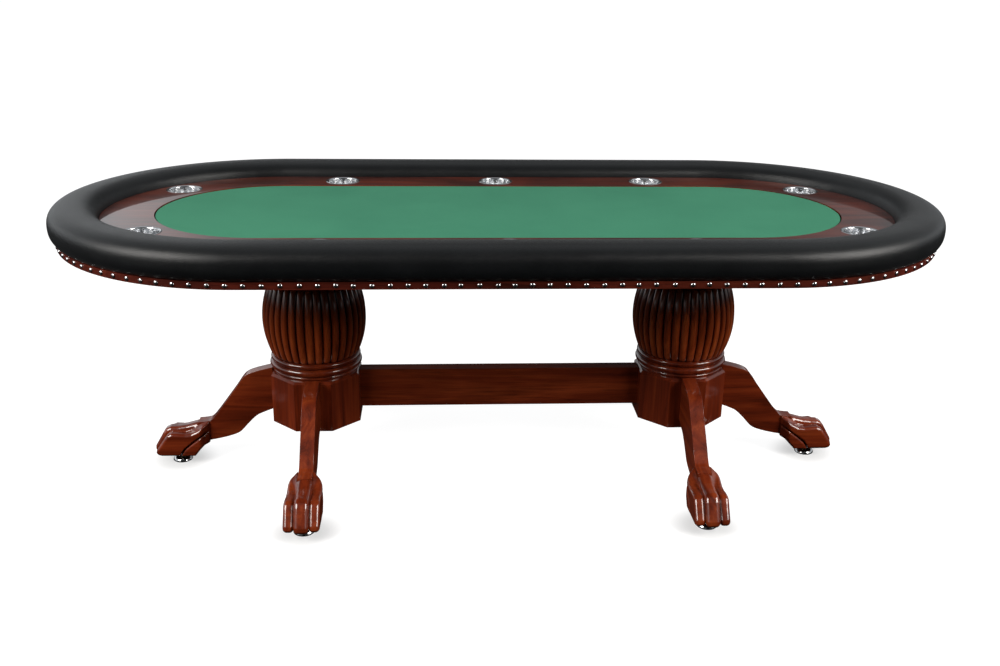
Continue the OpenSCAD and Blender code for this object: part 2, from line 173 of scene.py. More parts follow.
def wood(name, axis, dark, mid, light, rough=0.32, coat=1.0, coat_rough=0.04, scale=1.0, attr=None, fig=1.0, pore=0.35, bump=0.12, valley_shade=None, spec=0.18):
    """Stained hardwood under lacquer. axis is the grain's direction (0 x, 1 y, 2 z)."""
    m, nt, b = nt_mat(name)
    if attr:
        a = nt.nodes.new("ShaderNodeAttribute"); a.attribute_name = attr; src = a.outputs["Vector"]
    else:
        src = nt.nodes.new("ShaderNodeTexCoord").outputs["Object"]
    def mapped(along, across):
        mp = nt.nodes.new("ShaderNodeMapping")
        s = [across * scale] * 3; s[axis] = along * scale
        mp.inputs["Scale"].default_value = s
        lk(nt, src, mp.inputs["Vector"])
        return mp.outputs[0]
    n1 = nd(nt, "ShaderNodeTexNoise", Scale=1.0, Detail=7.0, Roughness=0.62, Distortion=0.9)
    lk(nt, mapped(1.6, 24), n1.inputs["Vector"])
    n2 = nd(nt, "ShaderNodeTexNoise", Scale=1.0, Detail=4.0, Roughness=0.6, Distortion=0.3)
    lk(nt, mapped(9, 320), n2.inputs["Vector"])
    n3 = nd(nt, "ShaderNodeTexNoise", Scale=1.0, Detail=3.0, Roughness=0.5, Distortion=1.2)
    lk(nt, mapped(2.2, 6.5), n3.inputs["Vector"])
    base = ramp(nt, [(0.30, dark), (0.50, mid), (0.72, light)], n1.outputs["Fac"])
    fig_c = ramp(nt, [(0.30, (1 - 0.45 * fig,) * 3), (0.55, (1, 1, 1)), (0.75, (1 + 0.22 * fig,) * 3)], n3.outputs["Fac"])
    c = mixc(nt, "MULTIPLY", 1.0, base, fig_c)
    por = ramp(nt, [(0.36, (1 - pore,) * 3), (0.50, (1, 1, 1))], n2.outputs["Fac"])
    c = mixc(nt, "MULTIPLY", 1.0, c, por)
    # painted shade: the colour darkens towards the bottom of each reed groove, weighted by the vertex attribute
    if valley_shade:
        va = nt.nodes.new("ShaderNodeAttribute"); va.attribute_name = valley_shade
        c = mixc(nt, "MULTIPLY", 1.0, c, ramp(nt, [(0.0, (1, 1, 1)), (0.45, (0.72, 0.62, 0.55)), (0.92, (0.12, 0.08, 0.06))], va.outputs["Fac"]))
    lk(nt, c, b.inputs["Base Color"])
    rr = nt.nodes.new("ShaderNodeMapRange")
    rr.inputs["To Min"].default_value = rough - 0.05; rr.inputs["To Max"].default_value = rough + 0.10
    lk(nt, n2.outputs["Fac"], rr.inputs["Value"]); lk(nt, rr.outputs[0], b.inputs["Roughness"])
    bp = nt.nodes.new("ShaderNodeBump"); bp.inputs["Strength"].default_value = bump; bp.inputs["Distance"].default_value = 0.0004
    lk(nt, n2.outputs["Fac"], bp.inputs["Height"]); lk(nt, bp.outputs[0], b.inputs["Normal"])
    b.inputs["Coat Weight"].default_value = coat
    b.inputs["Coat Roughness"].default_value = coat_rough
    b.inputs["Coat IOR"].default_value = 1.52
    b.inputs["Specular IOR Level"].default_value = spec
    return m

D, M_, L = (0.055, 0.0064, 0.0018), (0.140, 0.0175, 0.0042), (0.245, 0.040, 0.0095)
m_track = wood("racetrack_lacquered_mahogany", 0, (0.060, 0.0085, 0.0035), (0.125, 0.019, 0.0075), (0.20, 0.040, 0.015), rough=0.34, coat=1.0, coat_rough=0.025, fig=1.1)
m_skirt = wood("skirt_mahogany", 0, (0.040, 0.0055, 0.003), (0.075, 0.010, 0.005), (0.12, 0.019, 0.008), rough=0.38, coat=0.35, coat_rough=0.22)
m_turn = wood("turned_mahogany", 2, D, M_, L, rough=0.30, coat=1.0, coat_rough=0.06, fig=1.0)
# painted light: the reeded columns get a much lighter copy of the turned mahogany, standing in for the light that the
# tabletop keeps off them
m_reed_painted_light = wood("reeded_mahogany_painted_light", 2, (0.16, 0.025, 0.006), (0.36, 0.062, 0.014), (0.54, 0.115, 0.027), rough=0.30, coat=1.0, coat_rough=0.05, fig=0.5, pore=0.25, valley_shade="valley_shade")
m_block = wood("block_mahogany", 2, D, M_, L, rough=0.36, coat=0.7, coat_rough=0.10, fig=0.5, pore=0.22)
m_stretch = wood("stretcher_mahogany", 0, (0.055, 0.0068, 0.0020), (0.135, 0.0180, 0.0045), (0.235, 0.040, 0.0100), rough=0.50, coat=0.10, coat_rough=0.25, fig=0.6, spec=0.10)
m_leg = wood("leg_mahogany", 0, D, (0.150, 0.0190, 0.0045), (0.26, 0.043, 0.010), rough=0.36, coat=0.65, coat_rough=0.08, attr="grain", fig=0.5, pore=0.2, bump=0.08)
m_paw = wood("paw_mahogany", 0, (0.065, 0.0078, 0.0022), (0.155, 0.0200, 0.0050), (0.27, 0.046, 0.011), rough=0.32, coat=1.0, coat_rough=0.045, attr="grain", fig=0.5, pore=0.22, bump=0.08)
m_ply = wood("plywood", 0, (0.33, 0.21, 0.11), (0.47, 0.33, 0.19), (0.58, 0.43, 0.27), rough=0.62, coat=0.0, pore=0.2)
m_deck = wood("deck_board", 0, (0.26, 0.17, 0.10), (0.37, 0.26, 0.16), (0.46, 0.34, 0.22), rough=0.65, coat=0.0, pore=0.2)
m_under = wood("batten_wood", 0, (0.20, 0.11, 0.055), (0.30, 0.18, 0.10), (0.40, 0.26, 0.15), rough=0.6, coat=0.0, pore=0.25)

def leather():
    m, nt, b = nt_mat("black_leatherette")
    src = nt.nodes.new("ShaderNodeTexCoord").outputs["Object"]
    v = nd(nt, "ShaderNodeTexVoronoi", Scale=620.0); v.feature = "DISTANCE_TO_EDGE"; lk(nt, src, v.inputs["Vector"])
    v2 = nd(nt, "ShaderNodeTexVoronoi", Scale=250.0); v2.feature = "F1"; lk(nt, src, v2.inputs["Vector"])
    n = nd(nt, "ShaderNodeTexNoise", Scale=9.0, Detail=4.0, Roughness=0.6); lk(nt, src, n.inputs["Vector"])
    n2 = nd(nt, "ShaderNodeTexNoise", Scale=420.0, Detail=3.0, Roughness=0.6); lk(nt, src, n2.inputs["Vector"])
    c = ramp(nt, [(0.3, (0.0026, 0.0031, 0.0037)), (0.7, (0.0046, 0.0053, 0.0062))], n.outputs["Fac"])
    c = mixc(nt, "MULTIPLY", 1.0, c, ramp(nt, [(0.0, (0.55,) * 3), (0.12, (1, 1, 1))], v.outputs["Distance"]))
    lk(nt, c, b.inputs["Base Color"])
    rr = nt.nodes.new("ShaderNodeMapRange"); rr.inputs["To Min"].default_value = 0.32; rr.inputs["To Max"].default_value = 0.42
    lk(nt, n.outputs["Fac"], rr.inputs["Value"]); lk(nt, rr.outputs[0], b.inputs["Roughness"])
    mth = nt.nodes.new("ShaderNodeMath"); mth.operation = "MULTIPLY_ADD"
    lk(nt, v.outputs["Distance"], mth.inputs[0]); mth.inputs[1].default_value = 3.0; lk(nt, n2.outputs["Fac"], mth.inputs[2])
    b1 = nt.nodes.new("ShaderNodeBump"); b1.inputs["Strength"].default_value = 0.30; b1.inputs["Distance"].default_value = 0.0005
    lk(nt, mth.outputs[0], b1.inputs["Height"])
    b2 = nt.nodes.new("ShaderNodeBump"); b2.inputs["Strength"].default_value = 0.10; b2.inputs["Distance"].default_value = 0.0012
    lk(nt, v2.outputs["Distance"], b2.inputs["Height"]); lk(nt, b1.outputs[0], b2.inputs["Normal"])
    lk(nt, b2.outputs[0], b.inputs["Normal"])
    b.inputs["Specular IOR Level"].default_value = 0.32
    b.inputs["Sheen Weight"].default_value = 0.015
    b.inputs["Sheen Roughness"].default_value = 0.5
    return m
m_leather = leather()

def speed_cloth():
    m, nt, b = nt_mat("green_speed_cloth")
    src = nt.nodes.new("ShaderNodeTexCoord").outputs["Object"]
    n = nd(nt, "ShaderNodeTexNoise", Scale=3.0, Detail=5.0, Roughness=0.6); lk(nt, src, n.inputs["Vector"])
    f = nd(nt, "ShaderNodeTexNoise", Scale=900.0, Detail=2.0, Roughness=0.7); lk(nt, src, f.inputs["Vector"])
    hs = []
    for ax in (0, 1):
        w = nd(nt, "ShaderNodeTexWave", Scale=200.0, Distortion=0.6, Detail=1.0)
        w.bands_direction = "XY"[ax]; w.wave_type = "BANDS"; w.inputs["Detail Scale"].default_value = 2.0
        lk(nt, src, w.inputs["Vector"]); hs.append(w.outputs["Fac"])
    mx = nt.nodes.new("ShaderNodeMath"); mx.operation = "MAXIMUM"; lk(nt, hs[0], mx.inputs[0]); lk(nt, hs[1], mx.inputs[1])
    c = ramp(nt, [(0.3, (0.042, 0.212, 0.124)), (0.7, (0.053, 0.247, 0.145))], n.outputs["Fac"])
    c = mixc(nt, "MULTIPLY", 1.0, c, ramp(nt, [(0.2, (0.80,) * 3), (0.9, (1.05,) * 3)], mx.outputs[0]))
    c = mixc(nt, "MULTIPLY", 1.0, c, ramp(nt, [(0.3, (0.92,) * 3), (0.7, (1.06,) * 3)], f.outputs["Fac"]))
    lk(nt, c, b.inputs["Base Color"])
    bp = nt.nodes.new("ShaderNodeBump"); bp.inputs["Strength"].default_value = 0.35; bp.inputs["Distance"].default_value = 0.0003
    lk(nt, mx.outputs[0], bp.inputs["Height"]); lk(nt, bp.outputs[0], b.inputs["Normal"])
    rr = nt.nodes.new("ShaderNodeMapRange"); rr.inputs["To Min"].default_value = 0.78; rr.inputs["To Max"].default_value = 0.92
    lk(nt, f.outputs["Fac"], rr.inputs["Value"]); lk(nt, rr.outputs[0], b.inputs["Roughness"])
    b.inputs["Specular IOR Level"].default_value = 0.12
    b.inputs["Sheen Weight"].default_value = 0.03
    b.inputs["Sheen Roughness"].default_value = 0.4
    b.inputs["Sheen Tint"].default_value = (0.55, 0.85, 0.68, 1)
    return m
m_cloth = speed_cloth()

def metal(name, col, rough, brushed=None, spots=0.0):
    m, nt, b = nt_mat(name)
    src = nt.nodes.new("ShaderNodeTexCoord").outputs["Object"]
    mp = nt.nodes.new("ShaderNodeMapping"); mp.inputs["Scale"].default_value = brushed or (60, 60, 60)
    lk(nt, src, mp.inputs["Vector"])
    n = nd(nt, "ShaderNodeTexNoise", Scale=1.0, Detail=5.0, Roughness=0.65); lk(nt, mp.outputs[0], n.inputs["Vector"])
    k = tuple(min(1, c * 1.06) for c in col); d = tuple(c * 0.88 for c in col)
    lk(nt, ramp(nt, [(0.3, d), (0.7, k)], n.outputs["Fac"]), b.inputs["Base Color"])
    rr = nt.nodes.new("ShaderNodeMapRange"); rr.inputs["To Min"].default_value = max(0.02, rough - 0.05); rr.inputs["To Max"].default_value = rough + 0.08
    lk(nt, n.outputs["Fac"], rr.inputs["Value"]); lk(nt, rr.outputs[0], b.inputs["Roughness"])
    bp = nt.nodes.new("ShaderNodeBump"); bp.inputs["Strength"].default_value = 0.05; bp.inputs["Distance"].default_value = 0.0002
    lk(nt, n.outputs["Fac"], bp.inputs["Height"]); lk(nt, bp.outputs[0], b.inputs["Normal"])
    b.inputs["Metallic"].default_value = 1.0
    return m
m_cup = metal("polished_stainless", (0.66, 0.67, 0.685), 0.17, (40, 40, 900))
m_nail = metal("nickel_nail", (0.66, 0.66, 0.67), 0.24)
m_glide = metal("nickel_glide", (0.60, 0.61, 0.62), 0.12)
m_bolt = metal("zinc_steel", (0.48, 0.48, 0.49), 0.34)
m_brass = metal("insert_brass", (0.66, 0.50, 0.24), 0.28)

def foam(name, c0, c1):
    m, nt, b = nt_mat(name)
    src = nt.nodes.new("ShaderNodeTexCoord").outputs["Object"]
    v = nd(nt, "ShaderNodeTexVoronoi", Scale=900.0); lk(nt, src, v.inputs["Vector"])
    n = nd(nt, "ShaderNodeTexNoise", Scale=20.0, Detail=4.0); lk(nt, src, n.inputs["Vector"])
    c = mixc(nt, "MULTIPLY", 1.0, ramp(nt, [(0.3, c0), (0.7, c1)], n.outputs["Fac"]), ramp(nt, [(0.0, (0.75,) * 3), (0.5, (1, 1, 1))], v.outputs["Distance"]))
    lk(nt, c, b.inputs["Base Color"]); b.inputs["Roughness"].default_value = 0.95
    bp = nt.nodes.new("ShaderNodeBump"); bp.inputs["Strength"].default_value = 0.4; bp.inputs["Distance"].default_value = 0.0006
    lk(nt, v.outputs["Distance"], bp.inputs["Height"]); lk(nt, bp.outputs[0], b.inputs["Normal"])
    return m
m_foam = foam("rail_foam", (0.62, 0.55, 0.36), (0.72, 0.65, 0.45))
m_foam2 = foam("field_foam", (0.70, 0.68, 0.60), (0.80, 0.78, 0.70))

def assign(name, mat):
    o = NODES[name]
    if not o.data.materials: o.data.materials.append(mat)
    for i in range(len(o.data.materials)): o.data.materials[i] = mat
    for s in o.material_slots: s.material = mat

# ------------------------------------------------------------------ padded rail
def spine(n_str, n_arc):
    """Stations round the racetrack: centre of curvature (x), outward direction angle, running length."""
    st = []
    for i in range(n_str): st.append((-HALF + 2 * HALF * i / n_str, math.pi / 2, 0))
    for i in range(n_arc): st.append((HALF, math.pi / 2 - math.pi * i / n_arc, 1))
    for i in range(n_str): st.append((HALF - 2 * HALF * i / n_str, -math.pi / 2, 0))
    for i in range(n_arc): st.append((-HALF, -math.pi / 2 - math.pi * i / n_arc, 1))
    return st

def rail_profile(n):
    """Closed section of the rail: (radius from the spine, z, u) with u the angle round the section."""
    k = 2 / 2.6
    bb, bt = 45.0, RAIL_Z1 - RAIL_ZC + 0.1
    pts = []
    f = (1 - (38.0 / bb) ** 2.6) ** (1 / 2.6)
    lim = -math.asin(min(1, (38.0 / bb) ** (1 / k)))
    for i in range(n + 1):
        t = lim + (math.pi - 2 * lim) * i / n
        cx, cz = math.cos(t), math.sin(t)
        x = 62.5 * math.copysign(abs(cx) ** k, cx)
        z = (bt if cz > 0 else bb) * math.copysign(abs(cz) ** k, cz)
        pts.append((RAIL_C + x, RAIL_ZC + z, t))
    return pts

def build_rail():
    st = spine(72, 110)
    pr = rail_profile(60)
    nu = len(pr)
    S = len(st)
    ang = np.linspace(0, 2 * math.pi, S, endpoint=False)
    nz1, nz2, nz3 = ang_noise(3, 9, 40, 190), ang_noise(5, 8, 5, 26), ang_noise(9, 9, 90, 260)
    verts = []
    for i, (cx, a, is_arc) in enumerate(st):
        # how far into an end's curve this station lies, 0 on the straights
        w = 0.0
        if is_arc:
            frac = (i % (72 + 110) - 72) / 110
            w = min(1.0, min(frac, 1 - frac) / 0.10)
            w = w * w * (3 - 2 * w)
        g1, g2, g3 = float(nz1(ang[i])), float(nz2(ang[i])), float(nz3(ang[i]))
        for r, z, t in pr:
            dx, dz = r - RAIL_C, z - RAIL_ZC
            ln = math.hypot(dx, dz); ux, uz = dx / ln, dz / ln
            inner = max(0.0, -math.cos(t)) ** 1.5
            low_out = max(0.0, math.cos(t)) * max(0.0, -math.sin(t) + 0.25)
            low = max(0.0, -math.sin(t) + 0.35)
            d = -0.15 - 0.35 * (0.5 - 0.5 * g2)
            d += 0.85 * w * inner * (g1 - 0.5) + 0.55 * low_out * (g1 * 0.6 + g3 * 0.4 - 0.6) * (0.35 + 0.65 * w)
            d += 0.20 * low * g3
            rr, zz = r + ux * d, max(RAIL_Z0 + 0.02, z + uz * d)
            verts.append(((cx + rr * math.cos(a)) * MM, rr * math.sin(a) * MM, zz * MM))
    faces = []
    for i in range(S):
        j = (i + 1) % S
        for k in range(nu - 1):
            faces.append((i * nu + k, j * nu + k, j * nu + k + 1, i * nu + k + 1))
        faces.append((i * nu + nu - 1, j * nu + nu - 1, j * nu, i * nu))
    o = new_obj("rail_leather_cover", verts, faces, m_leather)
    fix_normals(o)
    s = o.modifiers.new("fine", "SUBSURF"); s.levels = 1; s.render_levels = 1
    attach(o, "table"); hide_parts("rail_cover")
    return o
build_rail()

# ------------------------------------------------------------------ playing cloth, stretched over its board
def build_cloth():
    st = []
    n_str, n_arc = 60, 60
    for i in range(n_str): st.append((-CL_HALF + 2 * CL_HALF * i / n_str, math.pi / 2))
    for i in range(n_arc): st.append((CL_HALF, math.pi / 2 - math.pi * i / n_arc))
    for i in range(n_str): st.append((CL_HALF - 2 * CL_HALF * i / n_str, -math.pi / 2))
    for i in range(n_arc): st.append((-CL_HALF, -math.pi / 2 - math.pi * i / n_arc))
    R, Z1, Z0, rr = CL_R - 0.1, CL_Z1, CL_Z0, 3.2
    prof = [(0, Z1)] + [(R * q, Z1) for q in (0.25, 0.5, 0.7, 0.82, 0.9, 0.95)] + [(R - 12, Z1), (R - 7, Z1 - 0.05)]
    prof += [(R - rr + rr * math.sin(math.radians(a)), Z1 - rr + rr * math.cos(math.radians(a)) - 0.05) for a in (0, 18, 36, 54, 72, 90)]
    prof += [(R, Z1 - 8), (R, Z0 + 1), (R - 0.5, Z0)]
    nu = len(prof); S = len(st)
    g = ang_noise(21, 8, 20, 90); gg = ang_noise(22, 6, 3, 9)
    verts = []
    for i, (cx, a) in enumerate(st):
        t = 2 * math.pi * i / S
        for k, (r, z) in enumerate(prof):
            dz = 0.12 * float(gg(t)) * (r / R) if k < 8 else 0.0
            edge = 0.18 * float(g(t)) if 8 <= k < 15 else 0.0
            q = r + edge - 0.2
            verts.append(((cx + q * math.cos(a)) * MM, q * math.sin(a) * MM, (z + dz - 0.12) * MM))
    faces = []
    for i in range(S):
        j = (i + 1) % S
        for k in range(nu - 1):
            faces.append((i * nu + k, j * nu + k, j * nu + k + 1, i * nu + k + 1))
    o = new_obj("green_playing_cloth", verts, faces, m_cloth)
    bm = bmesh.new(); bm.from_mesh(o.data)
    bmesh.ops.remove_doubles(bm, verts=bm.verts, dist=1e-5)
    bmesh.ops.dissolve_degenerate(bm, edges=bm.edges, dist=1e-6)
    bmesh.ops.recalc_face_normals(bm, faces=bm.faces)
    up = sum(f.normal.z for f in bm.faces)
    if up < 0: bmesh.ops.reverse_faces(bm, faces=bm.faces)
    bm.to_mesh(o.data); bm.free()
    o.data.polygons.foreach_set("use_smooth", [True] * len(o.data.polygons))
    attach(o, "table"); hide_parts("playing_cloth")
    return o
cloth = build_cloth()

# ------------------------------------------------------------------ nails
def build_nails():
    n = 145
    L_ = 4 * HALF + 2 * math.pi * SKIRT_R
    g = np.random.default_rng(12)
    verts, faces = [], []
    prof = [(5.75, 0.0), (5.70, 0.5)] + [(5.7 * math.cos(math.radians(a)), 0.45 + 2.9 * math.sin(math.radians(a))) for a in (12, 26, 40, 54, 68, 80)] + [(0, 3.35)]
    seg = 20
    for i in range(n):
        s = L_ * (i + 0.5) / n + g.uniform(-2.2, 2.2)
        zc = (SK_Z0 + SK_Z1) / 2 + g.uniform(-0.7, 0.7)
        r = SKIRT_R
        if s < HALF: x, y, a = s, r, 90.0
        elif s < HALF + math.pi * r:
            a = 90 - math.degrees((s - HALF) / r); x = HALF + r * math.cos(math.radians(a)); y = r * math.sin(math.radians(a))
        elif s < 3 * HALF + math.pi * r: x, y, a = 2 * HALF + math.pi * r - s, -r, -90.0
        elif s < 3 * HALF + 2 * math.pi * r:
            a = -90 - math.degrees((s - 3 * HALF - math.pi * r) / r); x = -HALF + r * math.cos(math.radians(a)); y = r * math.sin(math.radians(a))
        else: x, y, a = s - 4 * HALF - 2 * math.pi * r, r, 90.0
        ar = math.radians(a); nx, ny = math.cos(ar), math.sin(ar); tx, ty = -ny, nx
        base = len(verts)
        tilt = g.uniform(-0.05, 0.05)
        for pr, ph in prof:
            if pr == 0:
                verts.append(((x + nx * ph) * MM, (y + ny * ph) * MM, (zc + tilt * ph) * MM)); continue
            for k in range(seg):
                b = 2 * math.pi * k / seg
                u, v = pr * math.cos(b), pr * math.sin(b)
                h = ph + (0.02 if ph == 0 else 0)
                verts.append(((x + nx * h + tx * u) * MM, (y + ny * h + ty * u) * MM, (zc + v + tilt * h) * MM))
        R_ = len(prof) - 1
        for q in range(R_ - 1):
            for k in range(seg):
                k2 = (k + 1) % seg
                faces.append((base + q * seg + k, base + q * seg + k2, base + (q + 1) * seg + k2, base + (q + 1) * seg + k))
        tip = base + R_ * seg
        for k in range(seg):
            faces.append((base + (R_ - 1) * seg + k, base + (R_ - 1) * seg + (k + 1) % seg, tip))
        faces.append(tuple(base + k for k in reversed(range(seg))))
    o = new_obj("dome_nails", verts, faces, m_nail)
    fix_normals(o)
    smooth_by_angle(o, 60)
    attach(o, "table"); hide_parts("skirt_nails")
build_nails()

# ------------------------------------------------------------------ cup holders
for i in range(1, 11):
    lo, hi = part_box("cup_holder_%d" % i)
    cx, cy = (lo.x + hi.x) / 2 / MM, (lo.y + hi.y) / 2 / MM
    z0, z1 = lo.z / MM, hi.z / MM
    rf = (hi.x - lo.x) / 2 / MM
    T = z1 - 1.6
    rb = 46.0
    prof = [(0, z0 + 0.6), (30, z0 + 0.6), (32, z0)] + arc(rb - 5, z0 + 5, 5, -90, 0, 6) + [(rb, T - 0.2)]
    prof += [(rb + 0.2, T + 0.05), (rf - 0.5, T + 0.05), (rf - 0.05, T + 0.35), (rf - 0.3, T + 0.8), (rf - 1.0, T + 1.25), (rf - 1.9, T + 1.55), (rf - 2.8, T + 1.58)]
    prof += [(rb + 1.5, T + 1.2)] + arc(rb + 1.0, T - 2.0, 2.9, 92, 172, 8)
    prof += [(rb - 1.9, z0 + 8)] + arc(rb - 6.4, z0 + 6.2, 4.5, 0, -90, 6) + [(33, z0 + 1.7), (31, z0 + 2.2), (0, z0 + 2.2)]
    o = lathe("cup_%d_steel" % i, prof, cx, cy, 88, m_cup)
    smooth_by_angle(o, 50)
    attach(o, "cup_%d" % i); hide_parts("cup_holder_%d" % i)

# ------------------------------------------------------------------ pedestals
def bulb(z):
    zc = (COL_Z0 + COL_Z1) / 2
    return BULB_R - 254 + math.sqrt(254 * 254 - (z - zc) ** 2)

def build_column(side, cx):
    reeds, per, rings = 36, 12, 64
    n = reeds * per
    verts, faces = [], []
    H = COL_Z1 - COL_Z0
    u = ((np.arange(n) % per) / per) * 2 - 1
    shape = np.sqrt(np.clip(1 - (0.985 * u) ** 2, 0, 1))       # half round across a reed
    shape = 0.72 * shape + 0.28 * (1 - np.abs(u) ** 2.0)
    th = 2 * math.pi * (np.arange(n) + 0.5 * per) / n
    for i in range(rings):
        f = i / (rings - 1)
        z = COL_Z0 + H * f
        rb = bulb(z)
        dep = 8.8 * (rb / BULB_R) ** 2
        end = min(f, 1 - f) * H
        fade = 1.0 if end > 7 else (0.35 + 0.65 * math.sin(end / 7 * math.pi / 2))
        rr = rb - dep + dep * shape - (1 - fade) * 5.0
        for k in range(n):
            verts.append(((cx + rr[k] * math.cos(th[k])) * MM, rr[k] * math.sin(th[k]) * MM, z * MM))
    for i in range(rings - 1):
        for k in range(n):
            k2 = (k + 1) % n
            faces.append((i * n + k, i * n + k2, (i + 1) * n + k2, (i + 1) * n + k))
    faces.append(tuple(range(n - 1, -1, -1)))
    faces.append(tuple((rings - 1) * n + k for k in range(n)))
    o = new_obj("reeded_column_" + side, verts, faces, m_reed_painted_light)
    # weight of the painted groove shade: 0 on a reed's crown, near 1 at the bottom of a groove
    at = o.data.attributes.new("valley_shade", "FLOAT", "POINT")
    at.data.foreach_set("value", np.tile(np.abs(u) ** 2.2, rings).astype(np.float32))
    smooth_by_angle(o, 62)
    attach(o, "table"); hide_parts("column_" + side)

def build_lower_collar(side, cx):
    z0, z1 = BLK_Z1, COL_Z0
    p = [(8, z1), (114, z1)]
    p += arc(117.5, z1 - 8, 8, 75, -75, 10)
    p += [(117, z1 - 16.4)]
    p += arc(118, z1 - 27, 11, 72, -72, 12)
    p += [(117.5, z1 - 38)]
    p += arc(117, z0 + 9, 5, 70, -70, 8)
    p += [(115.5, z0 + 4), (116.8, z0 + 3.6), (117, z0 + 2), (117, z0), (8, z0)]
    o = lathe("bead_collar_" + side, p, cx, 0, 128, m_turn)
    smooth_by_angle(o, 48)
    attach(o, "table"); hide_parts("lower_collar_" + side)

def build_upper_collar(side, cx):
    z0, z1 = COL_Z1, PLATE_Z
    p = [(8, z0), (112, z0)] + arc(114, z0 + 7, 7, -75, 75, 10) + arc(117, z0 + 23, 9, -75, 75, 12)
    p += [(118, z0 + 33), (120, z0 + 34), (120, z0 + 40), (113, z0 + 41)]
    p += arc(140, z0 + 41 + 27, 27, 180, 140, 8)[1:4]
    p += [(112, z0 + 60), (114, z1 - 46), (122, z1 - 43), (124, z1 - 41), (124, z1 - 31), (134, z1 - 30)]
    p += [(136, z1 - 28), (136, z1 - 2), (135, z1), (8, z1)]
    o = lathe("capital_collar_" + side, p, cx, 0, 128, m_turn)
    smooth_by_angle(o, 40)
    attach(o, "table"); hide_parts("upper_collar_" + side)

for side, cx in (("left", -PED), ("right", PED)):
    build_column(side, cx)
    build_lower_collar(side, cx)
    build_upper_collar(side, cx)

# ------------------------------------------------------------------ legs
LEG_UP = [(BLK_W / 2, 292), (150, 285.5), (176, 278.5), (197, 270), (211, 257), (229, 231), (251, 201), (274, 170), (290, 149), (301, 136), (311, 128.5), (328, 125.5), (345, 124)]
LEG_LO = [(345, 58), (328, 63), (312, 68), (296, 71), (278, 75), (255, 81), (226, 93), (200, 120), (182, 138), (165, 150), (BLK_W / 2, 167)]
LONGER = {"left_front": 30.0, "left_rear": 30.0, "right_front": 30.0, "right_rear": 30.0, "left_outer": 0.0, "right_outer": 0.0}
def cr(p, n):
    P = np.array(p, float); out = []
    for i in range(len(P) - 1):
        a, b, c, d = P[max(i - 1, 0)], P[i], P[i + 1], P[min(i + 2, len(P) - 1)]
        for k in range(n):
            t = k / n
            out.append(0.5 * (2 * b + (c - a) * t + (2 * a - 5 * b + 4 * c - d) * t * t + (3 * b - a - 3 * c + d) * t ** 3))
    out.append(P[-1])
    return [tuple(q) for q in out]

LEGS = {"left_front": (-PED, -90), "left_rear": (-PED, 90), "left_outer": (-PED, 180),
        "right_front": (PED, -90), "right_rear": (PED, 90), "right_outer": (PED, 0)}

def place(me, ped, deg, seed):
    """Stores the local place as the grain coordinate, then moves the mesh to its pedestal."""
    n = len(me.vertices)
    co = np.zeros(n * 3); me.vertices.foreach_get("co", co); co = co.reshape(-1, 3)
    at = me.attributes.new("grain", "FLOAT_VECTOR", "POINT")
    at.data.foreach_set("vector", (co + np.array([seed * 1.7, seed * 0.9, seed * 0.31])).astype(np.float32).ravel())
    a = math.radians(deg); c, s = math.cos(a), math.sin(a)
    out = np.stack([c * co[:, 0] - s * co[:, 1] + ped * MM, s * co[:, 0] + c * co[:, 1], co[:, 2]], 1)
    me.vertices.foreach_set("co", out.ravel()); me.update()

def build_leg(name, ped, deg, seed):
    ring = [(x + LONGER[name] * min(max((x - 150) / 130, 0), 1), z) for x, z in cr(LEG_UP, 8) + cr(LEG_LO, 8)]
    t = 19.0
    n = len(ring)
    verts = [(x * MM, -t * MM, z * MM) for x, z in ring] + [(x * MM, t * MM, z * MM) for x, z in ring]
    faces = [tuple(range(n)), tuple(range(2 * n - 1, n - 1, -1))]
    for i in range(n):
        j = (i + 1) % n
        faces.append((i, n + i, n + j, j))
    o = new_obj("leg_board_" + name, verts, faces, m_leg)
    fix_normals(o)
    place(o.data, ped, deg, seed)
    bevel(o, 4.8, 4, 60)
    smooth_by_angle(o, 45)
    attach(o, "table"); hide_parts("leg_" + name)
for i, (k, (ped, deg)) in enumerate(LEGS.items()): build_leg(k, ped, deg, i + 1)

# ------------------------------------------------------------------ carved paws: distance fields meshed by surface nets
def poly_sdf(P, X, Z):
    P = np.array(P, float)
    d = np.full(X.shape, 1e9); inside = np.zeros(X.shape, bool)
    for i in range(len(P)):
        ax, az = P[i]; bx, bz = P[(i + 1) % len(P)]
        ex, ez = bx - ax, bz - az
        t = np.clip(((X - ax) * ex + (Z - az) * ez) / (ex * ex + ez * ez), 0, 1)
        d = np.minimum(d, np.hypot(X - ax - t * ex, Z - az - t * ez))
        cond = ((az > Z) != (bz > Z))
        with np.errstate(divide="ignore", invalid="ignore"):
            xc = (bx - ax) * (Z - az) / (bz - az + 1e-12) + ax
        inside ^= cond & (X < xc)
    return np.where(inside, -d, d)

def extr(d2, w, r):
    """rounded extrusion: section distance d2, side distance w"""
    a, b = d2 + r, w + r
    return np.hypot(np.maximum(a, 0), np.maximum(b, 0)) + np.minimum(np.maximum(a, b), 0) - r

def smin(a, b, k):
    h = np.clip(0.5 + 0.5 * (b - a) / k, 0, 1)
    return b * (1 - h) + a * h - k * h * (1 - h)

